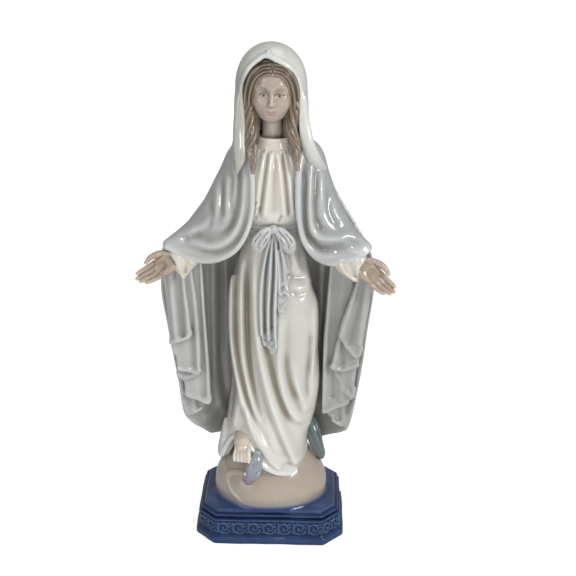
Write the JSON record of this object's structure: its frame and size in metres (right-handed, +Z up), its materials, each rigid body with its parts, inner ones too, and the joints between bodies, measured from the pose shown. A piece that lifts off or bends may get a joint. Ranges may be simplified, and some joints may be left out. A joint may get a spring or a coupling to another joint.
{
  "type": "madonna statue",
  "caption": "Free-standing glazed porcelain devotional figure in a hooded mantle, hands held open, on a globe and a moulded plinth.",
  "frame": {"origin": "middle of the plinth's flat underside", "axes": "+Z up the figure, +X to its own left, -Y the way it faces"},
  "size_m": [0.1587, 0.0749, 0.32],
  "materials": {
    "blue_glaze": "gloss",
    "frieze_glaze": "gloss",
    "globe_glaze": "gloss",
    "skirt_glaze": "gloss",
    "bodice_glaze": "gloss",
    "sash_glaze": "gloss",
    "face_glaze": "gloss",
    "hair_glaze": "gloss",
    "mantle_glaze": "gloss",
    "hood_glaze": "gloss",
    "sleeve_glaze": "gloss",
    "skin_glaze": "gloss",
    "serpent_head_glaze": "gloss",
    "serpent_body_glaze": "gloss",
    "serpent_tail_glaze": "gloss"
  },
  "bodies": {
    "root": {"plinth": "blue_glaze", "frieze_scrolls": "frieze_glaze", "globe": "globe_glaze", "skirt": "skirt_glaze", "bodice": "bodice_glaze", "collar_band": "bodice_glaze", "sash_band": "sash_glaze", "bow_knot": "sash_glaze", "bow_loop_right": "sash_glaze", "bow_loop_left": "sash_glaze", "sash_tail_long": "sash_glaze", "sash_tail_short": "sash_glaze", "head": "face_glaze", "hair_cap": "hair_glaze", "hair_lock_right": "hair_glaze", "hair_lock_left": "hair_glaze", "mantle_cape_right": "mantle_glaze", "mantle_cape_left": "mantle_glaze", "hood": "hood_glaze", "cloak_right": "mantle_glaze", "cloak_back": "mantle_glaze", "cloak_left": "mantle_glaze", "dress_sleeve_right": "sleeve_glaze", "dress_sleeve_left": "sleeve_glaze", "hand_right": "skin_glaze", "hand_left": "skin_glaze", "foot_right": "skin_glaze", "serpent_head": "serpent_head_glaze", "serpent_body": "serpent_body_glaze", "serpent_tail": "serpent_tail_glaze"}
  },
  "joints": []
}
